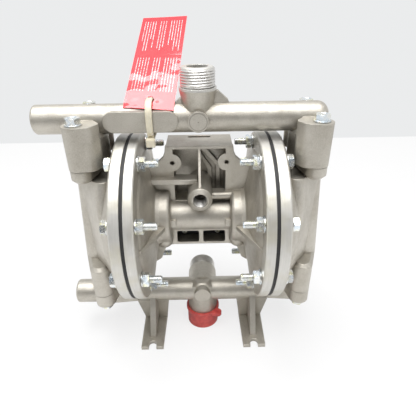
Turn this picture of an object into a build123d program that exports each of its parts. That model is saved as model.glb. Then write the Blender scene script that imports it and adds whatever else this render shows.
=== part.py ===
"""Small metal air operated diaphragm pump, built as separate pieces.

Millimetres.  X runs along the diaphragm rod, Y from the front to the back,
Z up.  Pieces are drawn with the rod's axis at Z = 0 and lifted by axis_height
when they are saved, so the feet stand on Z = 0.
"""
from build123d import *
import os
from math import cos, sin, radians, sqrt

os.makedirs("parts", exist_ok=True)

# ---- driving dimensions -----------------------------------------------------
axis_height = 101.2        # rod axis above the floor

# clamped flanges of the two diaphragm chambers
flange_radius = 58.0
air_flange_x = (37.6, 43.5)      # inner flange, on the air chamber
fluid_flange_x = (45.7, 52.8)    # outer flange, on the fluid cap
bolt_circle = 51.0
bolt_count = 8
bolt_r = 2.45                    # M5 shank
bolt_hole_r = 2.8
bolt_tip_x = 24.7
hex_flats = 8.0
head_high = 3.5
nut_high = 4.0
washer_r = 5.0
washer_thick = 1.0

# shaft housing between the chambers
housing_r = 11.0
hub_r = 19.5
hub_x = (20.6, 31.0)
housing_bore_r = 6.0
rod_r = 4.0
rod_bush_bore_r = 4.04
stroke = 4.5                     # rod travel each way

# centre block behind the housing
block_half = 21.9
block_back = 24.0
block_top = 51.0
block_bottom = -25.5
wall = 3.5

# legs of the fluid caps and the joints to the manifolds
leg_x = 73.5
leg_top_r = 8.2
leg_low_r = 12.3
top_joint_z = 44.5
low_joint_z = -52.7
ear_x = 72.0
ear_y = 19.0
ear_r = 7.2
cap_bolt_r = 2.45

# manifolds
pipe_r = 9.1
pipe_bore_r = 6.4
top_pipe_z = 70.0
low_pipe_z = -68.8
elbow_top_z = 71.6
port_r = 10.1                    # mean radius of a half inch pipe thread
port_bore_r = 6.4
port_top_z = 100.2
thread_long = 11.5
rear_port_y = 31.7
low_port_z = -98.6

# check valves
ball_r = 6.0
cage_r = 7.2
seat_hole_r = 4.8
seat_outer_r = 9.0
seat_proud = 1.0
ball_lift = 3.0

# feet, cast under the suction pipe
foot_x = 39.3              # middle of each foot
foot_half = (8.4, 9.1)     # half width at the ends and at the cross web
foot_y = 32.5
foot_thick = 3.0
foot_slot_r = 3.0
foot_slot_deep = 5.8
foot_web = 3.0

# rear air valve
valve_z = 6.0
spool_y = 38.0
spool_r = 5.0
spool_bore_r = 5.04
spool_travel = 3.0
pilot_y = 13.0
pilot_z = -1.0
pilot_r = 2.0
pilot_travel = 1.6


# ---- small makers ------------------------------------------------------------
def cyl_x(r, x0, x1, y=0.0, z=0.0):
    return Pos((x0 + x1) / 2, y, z) * Rot(0, 90, 0) * Cylinder(r, abs(x1 - x0))


def cyl_y(r, y0, y1, x=0.0, z=0.0):
    return Pos(x, (y0 + y1) / 2, z) * Rot(90, 0, 0) * Cylinder(r, abs(y1 - y0))


def cyl_z(r, z0, z1, x=0.0, y=0.0):
    return Pos(x, y, (z0 + z1) / 2) * Cylinder(r, abs(z1 - z0))


def block(x0, x1, y0, y1, z0, z1):
    return Pos((x0 + x1) / 2, (y0 + y1) / 2, (z0 + z1) / 2) * Box(x1 - x0, y1 - y0, z1 - z0)


def turned_x(points):
    """Solid of revolution about X from (x, radius) points."""
    return revolve(make_face(Polyline(*points, close=True)), axis=Axis.X)


def turned_z(points, x=0.0, y=0.0):
    """Solid of revolution about a vertical axis from (radius, z) points."""
    flat = make_face(Polyline(*[(r, 0, z) for r, z in points], close=True))
    return Pos(x, y, 0) * revolve(flat, axis=Axis.Z)


def plate_y(points, y0, y1):
    """Plate cut to an outline of (x, z) points, from y0 to y1."""
    face = make_face(Polyline(*[(x, y0, z) for x, z in points], close=True))
    return extrude(face, amount=y1 - y0, dir=(0, 1, 0))


def plate_x(points, x0, x1):
    """Plate cut to an outline of (y, z) points, from x0 to x1."""
    face = make_face(Polyline(*[(x0, y, z) for y, z in points], close=True))
    return extrude(face, amount=x1 - x0, dir=(1, 0, 0))


def hull_z(circles, z0, z1):
    """Upright block round several circles (x, y, r)."""
    loops = Sketch() + [Pos(x, y) * Circle(r) for x, y, r in circles]
    return Pos(0, 0, z0) * extrude(make_hull(loops.edges()), amount=z1 - z0)


def eased(solid, end, amount):
    """Chamfer the edges of an upright block's low face (end 0) or top face (end -1)."""
    return chamfer(solid.faces().sort_by(Axis.Z)[end].edges(), amount)


def hex_prism(flats, high):
    return extrude(RegularPolygon(flats / 2, 6, major_radius=False), amount=high)


def bolt_places(side):
    """Centres of one flange's bolts as (y, z)."""
    step = 360 / bolt_count
    return [(-bolt_circle * sin(radians(step * (k + 0.5))),
             bolt_circle * cos(radians(step * (k + 0.5)))) for k in range(bolt_count)]


def along_x(shape, x, y, z, side):
    """Put a piece drawn up +Z so that it points along +X (side 1) or -X (side -1)."""
    return Pos(x, y, z) * Rot(0, 90 * side, 0) * shape


def other_side(shape):
    return mirror(shape, about=Plane.YZ)


def save(name, *solids):
    """Lift to the floor frame and write one node, its solids kept apart."""
    flat = []
    for s in solids:
        flat += list(s.solids())
    lifted = [Pos(0, 0, axis_height) * s for s in flat]
    out = lifted[0] if len(lifted) == 1 else Compound(children=lifted)
    out.label = name
    export_step(out, os.path.join("parts", name + ".step"))


# ---- centre body: two air chambers, shaft housing, valve block, feet ----------
chamber = turned_x([
    (hub_x[0], 0), (hub_x[0], hub_r - 2.4), (hub_x[0] + 0.7, hub_r - 0.8),
    (hub_x[0] + 2.2, hub_r), (hub_x[1] - 3.4, hub_r), (hub_x[1] - 0.8, hub_r + 1.2),
    (31.4, 23.5), (33.6, 35.5), (34.8, 40.5), (36.3, 43.8),
    (air_flange_x[0], 45.8), (air_flange_x[0], flange_radius - 0.8),
    (air_flange_x[0] + 0.8, flange_radius), (air_flange_x[1], flange_radius),
    (air_flange_x[1], 42.0), (39.5, 40.0), (37.2, 35.0), (34.2, 27.5),
    (34.0, 10.5), (33.0, 9.5), (33.0, 0)])
body = chamber + other_side(chamber)
body += cyl_x(housing_r, -hub_x[0] - 1, hub_x[0] + 1)

# front plate that ties the chambers together, and the block behind it
half_outline = [(0, block_top), (22.3, block_top), (22.8, 46.8), (24.2, 43.4), (27.4, 40.4),
                (31.0, 38.2), (35.0, 37.0), (33.6, 30.0), (31.6, 12.0), (31.6, -12.0),
                (33.8, -34.0), (34.6, -41.0), (30.4, -38.0), (28.6, -33.0), (26.6, -28.4),
                (23.6, -26.2), (20.0, block_bottom), (0, block_bottom)]
plate_outline = half_outline + [(-x, z) for x, z in reversed(half_outline[1:-1])]
body += plate_y(plate_outline, 0, wall)
body += block(-block_half, block_half, 0, block_back, block_bottom, block_top)

# window in the plate with two screw ears left standing in it
window_half = 17.4
window_low = 11.5
window_top = 49.0
ear_hole = (18.1, 39.6)
ear_lobe_r = 6.0
window = block(-window_half, window_half, -1, wall + 0.5, window_low, window_top)
for s in (-1, 1):
    window -= cyl_y(ear_lobe_r, -2, wall + 1, s * ear_hole[0], ear_hole[1])
body -= window
body -= block(-window_half, window_half, wall, 15.0, window_low, window_top - 1.0)
for s in (-1, 1):
    body -= cyl_y(1.45, -1, wall + 0.1, s * ear_hole[0], ear_hole[1])

# cored slot in the top of the block, near its back
top_slot = block(-8.0, 8.0, 18.0, 21.6, block_top - 2.5, block_top + 1)
body -= fillet(top_slot.edges().filter_by(Axis.Z), 1.6)

# lower windows into the pocket under the housing
pocket_z = (-24.0, -14.2)
body -= block(-18, 18, wall, 20.0, pocket_z[0] - 0.0, pocket_z[1])
for x0, x1 in ((-17.7, -1.6), (1.6, 17.7)):
    opening = block(x0, x1, -1, wall + 0.5, pocket_z[0] + 0.3, pocket_z[1] + 0.2)
    body -= fillet(opening.edges().filter_by(Axis.Y), 1.2)

# raised air passages on the recess wall, dog-legged
outer_passage = [(-1.4, 47.6), (2.6, 47.6), (14.2, 33.8), (14.6, 12.0), (11.6, 12.0),
                 (11.2, 32.6)]
inner_passage = [(0.6, 38.6), (0.6, 42.6), (8.4, 30.8), (8.8, 12.0), (5.8, 12.0), (5.4, 29.4)]
for ridge in (outer_passage, inner_passage):
    body += plate_y(ridge, 12.4, 15.5)

# inlet boss with its gusset up to the plate, ledge and bar
inlet_z = 20.0
inlet_front = -18.0
inlet_r = 8.1
boss = cyl_y(inlet_r, inlet_front, 16.0, 0, inlet_z)
boss = chamfer(boss.edges().sort_by(Axis.Y)[0], 1.6, 2.6)
body += boss
body += plate_x([(0.5, 49.5), (-inlet_front * -0.8, 28.2), (0, 20), (wall, 20),
                 (wall, 49.5)], -0.9, 0.9)
body += block(-33.4, -1.5, -6.0, wall, 26.4, 29.8)
body += cyl_x(2.6, 5.0, 24.5, -2.4, 16.2)
body += block(5.0, 24.5, -2.4, wall, 13.6, 18.8)

# square lugs on the housing and round blind bosses under the hubs
for s in (-1, 1):
    body += block(s * 19.0 - 1.9, s * 19.0 + 1.9, -13.0, -7.0, -2.6, 2.6)
    body += Pos(s * 26.8, -2.5, -19.0) * Sphere(6.4)

# flat radial ribs from the hubs out to the flanges, front and back
rib_z = (-1.4, 1.4)
for s in (-1, 1):
    for e in (-1, 1):
        rib_line = [(s * 24.0, e * 12.0), (s * 24.0, e * 20.0), (s * 36.6, e * 46.0),
                    (s * 38.6, e * 46.0), (s * 38.6, e * 43.0), (s * 34.8, e * 37.0),
                    (s * 33.0, e * 24.0), (s * 32.6, e * 12.0)]
        rib = make_face(Polyline(*[(x, y, rib_z[0]) for x, y in rib_line], close=True))
        body += extrude(rib, amount=rib_z[1] - rib_z[0], dir=(0, 0, 1))

# bores and holes
body -= cyl_x(housing_bore_r, -40, 40)
body -= cyl_x(pilot_r + 1.5, -40, 40, pilot_y, pilot_z)
for y, z in bolt_places(1):
    body -= cyl_x(bolt_hole_r, 30, 45, y, z)
    body -= cyl_x(bolt_hole_r, -45, -30, y, z)
inlet_bore_r = 4.85
body -= cyl_y(inlet_bore_r, inlet_front - 1, inlet_front + 12, 0, inlet_z)
body -= cyl_y(3.0, inlet_front + 11, block_back + 1, 0, inlet_z)
screw_spots = [(sx * 15.5, valve_z + dz) for sx in (-1, 1) for dz in (-15.5, 17.5)]
screw_r = 1.65
for x, z in screw_spots:
    body -= cyl_y(screw_r, block_back - 6.0, block_back + 1, x, z)
save("center_body", body)


# ---- diaphragm rod and what guides it ------------------------------------------
bush_long = 7.0
for s, name in ((-1, "left"), (1, "right")):
    xa, xb = sorted((s * (33.0 - bush_long), s * 33.0))
    bush = cyl_x(housing_bore_r - 0.01, xa, xb) - cyl_x(rod_bush_bore_r, xa - 1, xb + 1)
    save(name + "_rod_bush", bush)
    xc, xd = sorted((s * (30.5 - bush_long), s * (33.0 - bush_long)))
    ring = cyl_x(housing_bore_r - 0.01, xc, xd) - cyl_x(rod_bush_bore_r, xc - 1, xd + 1)
    save(name + "_rod_seal", ring)

plate_r = 25.0
rod_half = 53.5
rod = cyl_x(rod_r, -38.5, 38.5) + cyl_x(3.0, -rod_half, rod_half)
save("diaphragm_rod", chamfer(rod.edges().sort_by(Axis.X)[0], 0.5))

for s, name in ((-1, "left"), (1, "right")):
    inner = turned_x([(39.2, 3.0), (39.2, 7.0), (40.6, 20.0), (41.6, plate_r - 0.8),
                      (42.6, plate_r), (43.5, plate_r - 0.4), (43.5, 3.0)])
    outer = turned_x([(45.7, 3.0), (45.7, plate_r - 0.4), (46.8, plate_r), (48.0, plate_r - 1.0),
                      (50.6, 12.0), (51.6, 6.5), (51.6, 3.0)])
    disc = cyl_x(plate_r - 0.5, 43.5, 45.7) - cyl_x(3.0, 40, 50)
    nut = along_x(hex_prism(9.0, 3.4), 51.6, 0, 0, 1) - cyl_x(3.0, 50, 60)
    pieces = {"inner_plate": inner, "outer_plate": outer, "diaphragm_centre": disc,
              "rod_nut": nut}
    for key, solid in pieces.items():
        save(name + "_" + key, solid if s > 0 else other_side(solid))

# flexing ring of each diaphragm, clamped between the flanges
ring_in = plate_r + 0.35
flex = turned_x([(43.5, flange_radius - 0.5), (45.7, flange_radius - 0.5), (45.7, 41.0),
                 (47.8, 36.8), (48.6, 33.5), (47.6, 29.5), (45.7, ring_in),
                 (43.5, ring_in), (45.4, 29.5), (46.2, 33.5), (45.8, 36.4), (43.5, 40.6)])
for y, z in bolt_places(1):
    flex -= cyl_x(bolt_hole_r, 40, 50, y, z)
save("right_diaphragm", flex)
save("left_diaphragm", other_side(flex))


# ---- fluid caps -----------------------------------------------------------------
def joint_outline(ear_radius, middle_radius):
    return [(ear_x, -ear_y, ear_radius), (ear_x, ear_y, ear_radius), (leg_x, 0, middle_radius)]


cap = turned_x([
    (fluid_flange_x[0], 41.6), (fluid_flange_x[0], flange_radius - 0.0),
    (fluid_flange_x[1] - 1.2, flange_radius), (fluid_flange_x[1], flange_radius - 1.2),
    (fluid_flange_x[1], 46.0), (54.4, 44.6), (58.4, 40.0), (62.4, 33.0), (65.0, 24.0),
    (66.0, 0), (61.0, 0), (60.4, 18.0), (57.6, 28.0), (53.0, 36.0), (49.0, 40.2)])
leg = turned_z([(0, low_joint_z), (leg_low_r, low_joint_z), (leg_low_r, -30.0),
                (leg_top_r, 38.0), (leg_top_r, top_joint_z), (0, top_joint_z)], leg_x)
cap += leg
# broad web that carries the leg on the dome, drawn in towards its low end
sections = []
for z, half_wide, round_r in ((-45.0, 8.0, 4.0), (-33.0, 19.0, 5.0), (-14.0, 25.0, 5.0),
                              (14.0, 25.0, 5.0), (37.4, 20.0, 5.0)):
    loops = Sketch() + [Pos(leg_x, 0) * Circle(leg_top_r),
                        Pos(60.5, -half_wide) * Circle(round_r), Pos(60.5, half_wide) * Circle(round_r)]
    sections.append(Pos(0, 0, z) * make_hull(loops.edges()))
cap += loft(sections)
cap += eased(hull_z(joint_outline(ear_r - 0.3, 11.6), 36.4, top_joint_z), 0, 2.2)
cap += eased(hull_z(joint_outline(ear_r, leg_low_r), low_joint_z, -28.4), -1, 2.2)
cap += block(53.5, 72.0, -10.0, 10.0, -46.0, -28.4)
cap -= turned_x([(45.0, 0), (45.0, 41.6), (fluid_flange_x[0], 41.6), (49.0, 40.2), (53.0, 36.0),
                 (57.6, 28.0), (60.4, 18.0), (61.0, 0)])
# fluid ways: dome, leg, ball cages
for s_z in (-1, 1):
    cap -= cyl_x(5.2, 56.0, leg_x, 0, s_z * 12.0)
cap -= block(56.0, leg_x, -5.0, 5.0, -12.0, 12.0)
low_ball_z = low_joint_z + seat_proud + sqrt(ball_r ** 2 - seat_hole_r ** 2) + 0.02
top_ball_z = top_joint_z + seat_proud + sqrt(ball_r ** 2 - seat_hole_r ** 2) + 0.02
low_cage_top = low_ball_z + ball_r + ball_lift + 0.5
top_cage_top = top_ball_z + ball_r + ball_lift + 0.5
cap -= cyl_z(cage_r, low_joint_z - 1, low_cage_top, leg_x)
cap -= cyl_z(4.6, low_cage_top - 1, top_joint_z + 1, leg_x)
cap -= cyl_z(seat_outer_r, low_joint_z - 1, low_joint_z + seat_proud, leg_x)
cap -= cyl_z(seat_outer_r, top_joint_z - 1.5, top_joint_z + 1, leg_x)
for e in (-1, 1):
    cap -= cyl_z(cap_bolt_r, low_joint_z - 1, -33.5, ear_x, e * ear_y)
    cap -= cyl_z(cap_bolt_r, 38.6, top_joint_z + 1, ear_x, e * ear_y)
for y, z in bolt_places(1):
    cap -= cyl_x(bolt_hole_r, 44, 54, y, z)
    cap -= cyl_x(washer_r + 0.6, fluid_flange_x[1], 60.0, y, z)
save("right_fluid_cap", cap)
save("left_fluid_cap", other_side(cap))

# ball seats between the caps and the manifolds, and the balls
for s, name in ((-1, "left"), (1, "right")):
    top_seat = (cyl_z(seat_outer_r - 0.05, top_joint_z - 1.5, top_joint_z + seat_proud, s * leg_x)
                - cyl_z(seat_hole_r, 0, 80, s * leg_x))
    low_seat = (cyl_z(seat_outer_r - 0.05, low_joint_z - 1.5, low_joint_z + seat_proud, s * leg_x)
                - cyl_z(seat_hole_r, -80, 0, s * leg_x))
    save(name + "_discharge_seat", top_seat)
    save(name + "_suction_seat", low_seat)
    save(name + "_discharge_ball", Pos(s * leg_x, 0, top_ball_z) * Sphere(ball_r))
    save(name + "_suction_ball", Pos(s * leg_x, 0, low_ball_z) * Sphere(ball_r))


# ---- discharge manifold ------------------------------------------------------------
pipe = cyl_x(pipe_r, -101.4, 80.7, 0, top_pipe_z)
ends = pipe.edges().sort_by(Axis.X)
pipe = fillet(ends[0], 1.6)
pipe = fillet(pipe.edges().sort_by(Axis.X)[-1], 7.0)
upper = pipe
for s in (-1, 1):
    body_round = [(s * ear_x, -ear_y, ear_r), (s * ear_x, ear_y, ear_r), (s * 71.0, 0, 13.2)]
    upper += eased(hull_z(body_round, top_joint_z, 60.0), 0, 0.5)
    upper += turned_z([(0, 59.5), (13.2, 59.5), (12.2, 63.0), (9.4, 67.0), (0, 70.0)], s * 71.0)
    for e in (-1, 1):
        tear = [(s * ear_x, e * ear_y, ear_r), (s * 66.4, e * 18.6, 6.4), (s * 62.0, e * 16.6, 3.6),
                (s * 70.0, e * 10.0, 6.0)]
        upper += eased(hull_z(tear, top_joint_z, elbow_top_z), 0, 0.5)
pad = Rot(90, 0, 0) * extrude(Pos(-34.9, 70.15) * SlotOverall(45.4, 12.6), amount=10.4)
upper += pad
for e in (-1, 1):
    upper += cyl_y(6.4, 0, e * 11.6, 0, top_pipe_z)
upper += turned_z([(0, 64.0), (7.4, 64.0), (8.6, 74.0), (10.4, 82.0), (11.4, 87.0),
                   (11.4, port_top_z - thread_long), (port_r, port_top_z - thread_long),
                   (port_r, port_top_z - 0.8), (port_r - 0.8, port_top_z), (0, port_top_z)])
right_gusset = [(7.0, 87.0), (12.3, 86.3), (18.4, 80.9), (19.6, 77.0), (7.0, 72.0)]
left_gusset = [(-7.0, 83.0), (-11.6, 81.8), (-17.8, 76.0), (-18.4, 74.0), (-7.0, 71.0)]
for gusset in (right_gusset, left_gusset):
    upper += plate_y(gusset, -2.2, 2.2)
# flow ways
upper -= cyl_x(pipe_bore_r, -78.0, 76.0, 0, top_pipe_z)
upper -= cyl_z(port_bore_r, top_pipe_z, port_top_z + 1)
for s in (-1, 1):
    upper -= cyl_z(4.6, top_cage_top - 1, top_pipe_z, s * leg_x)
    upper -= cyl_z(cage_r, top_joint_z - 1, top_cage_top, s * leg_x)
    upper -= cyl_z(seat_outer_r, top_joint_z - 1, top_joint_z + seat_proud, s * leg_x)
    for e in (-1, 1):
        upper -= cyl_z(bolt_hole_r, top_joint_z - 1, elbow_top_z + 1, s * ear_x, e * ear_y)
save("discharge_manifold", upper)


# ---- suction manifold ----------------------------------------------------------------
pipe = cyl_x(pipe_r, -99.0, 84.0, 0, low_pipe_z)
pipe = fillet(pipe.edges().sort_by(Axis.X)[0], 1.6)
pipe = fillet(pipe.edges().sort_by(Axis.X)[-1], 5.0)
lower = pipe
lug_low_z = -62.8
for s in (-1, 1):
    lug = [(s * ear_x, -ear_y, ear_r), (s * ear_x, ear_y, ear_r), (s * leg_x, 0, leg_low_r)]
    lower += eased(hull_z(lug, lug_low_z, low_joint_z), -1, 0.5)
    lower += turned_z([(0, lug_low_z + 1), (leg_low_r, lug_low_z + 1), (11.6, -68.0), (9.0, -74.0),
                       (0, -76.0)], s * leg_x)
    sloped = [(s * 50.0, low_pipe_z - 4.0), (s * 60.0, -62.0), (s * leg_x, lug_low_z + 2),
              (s * leg_x, low_pipe_z - 6.0)]
    lower += plate_y(sloped, -9.0, 9.0)
lower += turned_z([(0, -58.4), (6.0, -59.0), (9.6, -61.6), (11.2, -66.0), (11.4, -74.0),
                   (11.4, low_port_z + thread_long), (port_r, low_port_z + thread_long),
                   (port_r, low_port_z + 0.8), (port_r - 0.8, low_port_z), (0, low_port_z)])
lower += cyl_y(6.2, -12.6, 0, 0, -66.0)
lower += cyl_y(11.4, 0, rear_port_y - thread_long, 0, low_pipe_z)
lower += chamfer(cyl_y(port_r, 5, rear_port_y, 0, low_pipe_z).edges().sort_by(Axis.Y)[-1], 0.8)
# feet: slotted plate, cross web and long rib, hanging from the pipe
floor_z = -axis_height
foot_top = floor_z + foot_thick
for s in (-1, 1):
    mid = s * foot_x
    tapered = [(mid - foot_half[0], -foot_y), (mid + foot_half[0], -foot_y),
               (mid + foot_half[1], 0), (mid + foot_half[0], foot_y),
               (mid - foot_half[0], foot_y), (mid - foot_half[1], 0)]
    foot = extrude(make_face(Polyline(*[(x, y, floor_z) for x, y in tapered], close=True)),
                   amount=foot_thick, dir=(0, 0, 1))
    for e in (-1, 1):
        slot_in = e * (foot_y - foot_slot_deep + foot_slot_r)
        foot -= cyl_z(foot_slot_r, floor_z - 1, foot_top + 1, mid, slot_in)
        ya, yb = sorted((slot_in, e * (foot_y + 1)))
        foot -= block(mid - foot_slot_r, mid + foot_slot_r, ya, yb, floor_z - 1, foot_top + 1)
    foot += plate_y([(s * 30.2, foot_top - 1), (s * 48.0, foot_top - 1), (s * 48.4, -96.0),
                     (s * 54.0, low_pipe_z - 7.5), (s * 54.0, low_pipe_z),
                     (s * 27.2, low_pipe_z), (s * 27.2, low_pipe_z - 8.0)],
                    -foot_web / 2, foot_web / 2)
    foot += plate_x([(-23.0, foot_top - 1), (23.0, foot_top - 1), (23.0, foot_top + 0.8),
                     (8.6, low_pipe_z), (-8.6, low_pipe_z), (-23.0, foot_top + 0.8)],
                    mid - 2.2, mid + 2.2)
    lower += foot
lower -= cyl_x(pipe_bore_r, -78.0, 78.0, 0, low_pipe_z)
lower -= cyl_z(port_bore_r, low_port_z - 1, low_pipe_z)
lower -= cyl_y(port_bore_r, 0, rear_port_y + 1, 0, low_pipe_z)
for s in (-1, 1):
    lower -= cyl_z(4.6, low_pipe_z, low_joint_z + 1, s * leg_x)
    lower -= cyl_z(seat_outer_r, low_joint_z - 1.5, low_joint_z + 1, s * leg_x)
    for e in (-1, 1):
        lower -= cyl_z(bolt_hole_r, lug_low_z - 1, low_joint_z + 1, s * ear_x, e * ear_y)
save("suction_manifold", lower)

# push-on plastic cap over the lower port, with its pull tab
cap_out_r = 12.4
cap_low = -100.6
cup = cyl_z(cap_out_r, cap_low, -86.0) + cyl_z(cap_out_r + 0.9, -87.6, -85.4)
cup += hull_z([(9.0, -8.0, 3.6), (12.0, -9.4, 3.0)], -88.4, -85.4)
cup -= cyl_z(11.45, low_port_z + thread_long - 0.6, -80)
cup -= cyl_z(port_r + 0.05, low_port_z - 0.5, -80)
save("port_cap", cup)


# ---- bolts, nuts and washers ----------------------------------------------------------
def flange_bolt(side, y, z):
    head_x = side * (fluid_flange_x[1] + washer_thick)
    head = along_x(hex_prism(hex_flats, head_high), head_x, y, z, side)
    xa, xb = sorted((side * bolt_tip_x, side * (fluid_flange_x[1] + washer_thick + 1)))
    return head + cyl_x(bolt_r, xa, xb, y, z)


def washer_x(side, x, y, z):
    xa, xb = sorted((side * x, side * (x + washer_thick)))
    return cyl_x(washer_r, xa, xb, y, z) - cyl_x(bolt_r + 0.15, xa - 1, xb + 1, y, z)


for s, name in ((-1, "left"), (1, "right")):
    bolts, nuts = [], []
    for y, z in bolt_places(s):
        bolts.append(flange_bolt(s, y, z))
        bolts.append(washer_x(s, fluid_flange_x[1], y, z))
        nut_x = s * (air_flange_x[0] - washer_thick - nut_high)
        nut = along_x(hex_prism(hex_flats, nut_high), nut_x, y, z, s)
        nuts.append(nut - cyl_x(bolt_r, -60, 60, y, z))
        nuts.append(washer_x(s, air_flange_x[0] - washer_thick, y, z))
    save(name + "_flange_bolts", *bolts)
    save(name + "_flange_nuts", *nuts)

top_bolts, low_bolts = [], []
for s in (-1, 1):
    for e in (-1, 1):
        x, y = s * ear_x, e * ear_y
        seat_z = elbow_top_z + washer_thick
        top_bolts.append(Pos(x, y, seat_z) * hex_prism(hex_flats, head_high)
                         + cyl_z(cap_bolt_r, 39.0, seat_z + 1, x, y))
        top_bolts.append(cyl_z(washer_r, elbow_top_z, seat_z, x, y)
                         - cyl_z(cap_bolt_r + 0.15, 60, 80, x, y))
        seat_z = lug_low_z - washer_thick
        low_bolts.append(Pos(x, y, seat_z - head_high) * hex_prism(hex_flats, head_high)
                         + cyl_z(cap_bolt_r, seat_z - 1, -34.0, x, y))
        low_bolts.append(cyl_z(washer_r, seat_z, lug_low_z, x, y)
                         - cyl_z(cap_bolt_r + 0.15, -80, -50, x, y))
save("discharge_bolts", *top_bolts)
save("suction_bolts", *low_bolts)


# ---- rear air valve ---------------------------------------------------------------------
valve_x = 20.0
valve_low = valve_z - 20.0
valve_high = valve_z + 22.0
gasket_thick = 0.8
valve_front = block_back + gasket_thick
valve_back = 50.0
gasket = block(-valve_x, valve_x, block_back, valve_front, valve_low, valve_high)
gasket -= cyl_y(3.0, block_back - 1, valve_front + 1, 0, inlet_z)
gasket -= cyl_y(2.2, block_back - 1, valve_front + 1, -10, valve_z)
gasket -= cyl_y(2.2, block_back - 1, valve_front + 1, 10, valve_z)
valve = block(-valve_x, valve_x, valve_front, valve_back, valve_low, valve_high)
valve = fillet(valve.edges().filter_by(Axis.X).sort_by(Axis.Y)[-2:], 5.0)
valve -= cyl_x(spool_bore_r, -40, 40, spool_y, valve_z)
valve -= cyl_y(3.0, valve_front - 1, spool_y, 0, inlet_z)
valve -= block(-3, 3, spool_y - 4, spool_y + 2, valve_z, inlet_z + 2)
valve -= cyl_y(2.2, valve_front - 1, spool_y, -10, valve_z)
valve -= cyl_y(2.2, valve_front - 1, spool_y, 10, valve_z)
exhaust_z = valve_z
valve -= cyl_y(5.6, 44.0, valve_back + 1, 0, exhaust_z)
valve -= cyl_y(3.0, spool_y, 45, 0, exhaust_z)
for x, z in screw_spots:
    valve -= cyl_y(1.7, valve_front - 1, valve_back + 1, x, z)
    gasket -= cyl_y(1.7, block_back - 1, valve_front + 1, x, z)
save("valve_gasket", gasket)
save("air_valve_body", valve)

spool_half = 14.0
spool = cyl_x(spool_r, -spool_half, spool_half, spool_y, valve_z)
for x in (-6.0, 6.0):
    spool -= (cyl_x(spool_r + 1, x - 3.0, x + 3.0, spool_y, valve_z)
              - cyl_x(3.2, x - 3.0, x + 3.0, spool_y, valve_z))
save("valve_spool", spool)

for s, name in ((-1, "left"), (1, "right")):
    xa, xb = sorted((s * valve_x, s * (valve_x + 4.0)))
    cover = cyl_x(9.5, xa, xb, spool_y, valve_z)
    xp, xq = sorted((s * (valve_x - 2.4), s * valve_x))
    cover += cyl_x(spool_bore_r - 0.03, xp, xq, spool_y, valve_z)
    save(name + "_valve_cover", cover)

muffler = cyl_y(5.55, 44.5, 52.0, 0, exhaust_z) + cyl_y(8.4, valve_back, 66.0, 0, exhaust_z)
muffler = fillet(muffler.edges().sort_by(Axis.Y)[-1], 2.4)
muffler -= cyl_y(3.2, 44, 60, 0, exhaust_z)
save("exhaust_muffler", muffler)

screws = []
for x, z in screw_spots:
    screws.append(cyl_y(screw_r, block_back - 6.0, valve_back, x, z) + cyl_y(3.0, valve_back, 52.6, x, z))
save("valve_screws", *screws)

# pilot pin in its sleeve, pushed by the inner plates near each end of the stroke
sleeve = cyl_x(pilot_r + 1.49, -33.0, 33.0, pilot_y, pilot_z)
sleeve -= cyl_x(pilot_r + 0.04, -40, 40, pilot_y, pilot_z)
save("pilot_sleeve", sleeve)
save("pilot_pin", cyl_x(pilot_r, -33.2, 33.2, pilot_y, pilot_z))

# ---- tag and its tie on the upper manifold ------------------------------------------------
tag_wide, tag_long, tag_thick = 29.5, 76.0, 0.8
tag_lean = 34.0            # rise of the tag above the level, lying back over the pipe
touch = (-(pipe_r + 0.05) * sin(radians(tag_lean)),
         top_pipe_z + (pipe_r + 0.05) * cos(radians(tag_lean)))
tag_x = -29.8
tag = Pos(0, -1.5, 0) * Box(tag_wide, tag_long, tag_thick,
                            align=(Align.CENTER, Align.MIN, Align.MIN))
tag -= Pos(0.4, 7.4, 0) * Cylinder(3.3, 10)
tag = Pos(tag_x, touch[0], touch[1]) * Rot(tag_lean, 0, 0) * Rot(0, 0, -5.5) * tag
save("caution_tag", tag)

tie_x = -29.4
tie_wide = 4.0
loop_out = Pos(0.0, 70.2) * RectangleRounded(24.4, 24.6, 9.0)
loop_in = Pos(0.0, 70.2) * RectangleRounded(22.0, 22.2, 7.8)
tie = extrude(Plane.YZ.offset(tie_x - tie_wide / 2) * (loop_out - loop_in), amount=tie_wide)
tie += block(tie_x - 2.7, tie_x + 2.7, -13.8, -9.2, 55.0, 60.6)
save("cable_tie", tie)
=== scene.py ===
import bmesh
import bpy
import random
from math import cos, pi, radians, sin, tan
from mathutils import Matrix, Vector


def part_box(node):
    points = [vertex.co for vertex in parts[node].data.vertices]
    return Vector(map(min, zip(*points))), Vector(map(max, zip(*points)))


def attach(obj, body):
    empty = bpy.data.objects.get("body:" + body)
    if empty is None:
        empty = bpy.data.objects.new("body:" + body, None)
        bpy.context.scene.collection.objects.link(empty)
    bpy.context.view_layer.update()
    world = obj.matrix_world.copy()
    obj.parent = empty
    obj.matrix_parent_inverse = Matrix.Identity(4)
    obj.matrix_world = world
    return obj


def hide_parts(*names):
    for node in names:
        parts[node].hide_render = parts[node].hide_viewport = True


# A small air operated diaphragm pump in cast stainless steel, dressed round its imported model.
# The rod runs along X, the air inlet looks along -Y and the feet stand on Z = 0.
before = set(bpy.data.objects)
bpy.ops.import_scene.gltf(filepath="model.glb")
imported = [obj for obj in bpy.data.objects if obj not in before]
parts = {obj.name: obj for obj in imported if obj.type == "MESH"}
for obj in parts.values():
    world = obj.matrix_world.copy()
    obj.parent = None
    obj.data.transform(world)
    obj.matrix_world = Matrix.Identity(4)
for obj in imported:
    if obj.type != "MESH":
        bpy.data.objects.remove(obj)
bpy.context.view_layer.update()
mm = 0.001


# ---- camera ------------------------------------------------------------------------------
# Stands close in front of the pump, a little above it, and looks down at the air inlet.
aim = Vector((5.31 * mm, 0.0, 106.07 * mm))
distance = 262.2 * mm
look_down, look_round, tilt = radians(29.14), radians(-0.81), radians(-0.73)

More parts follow.
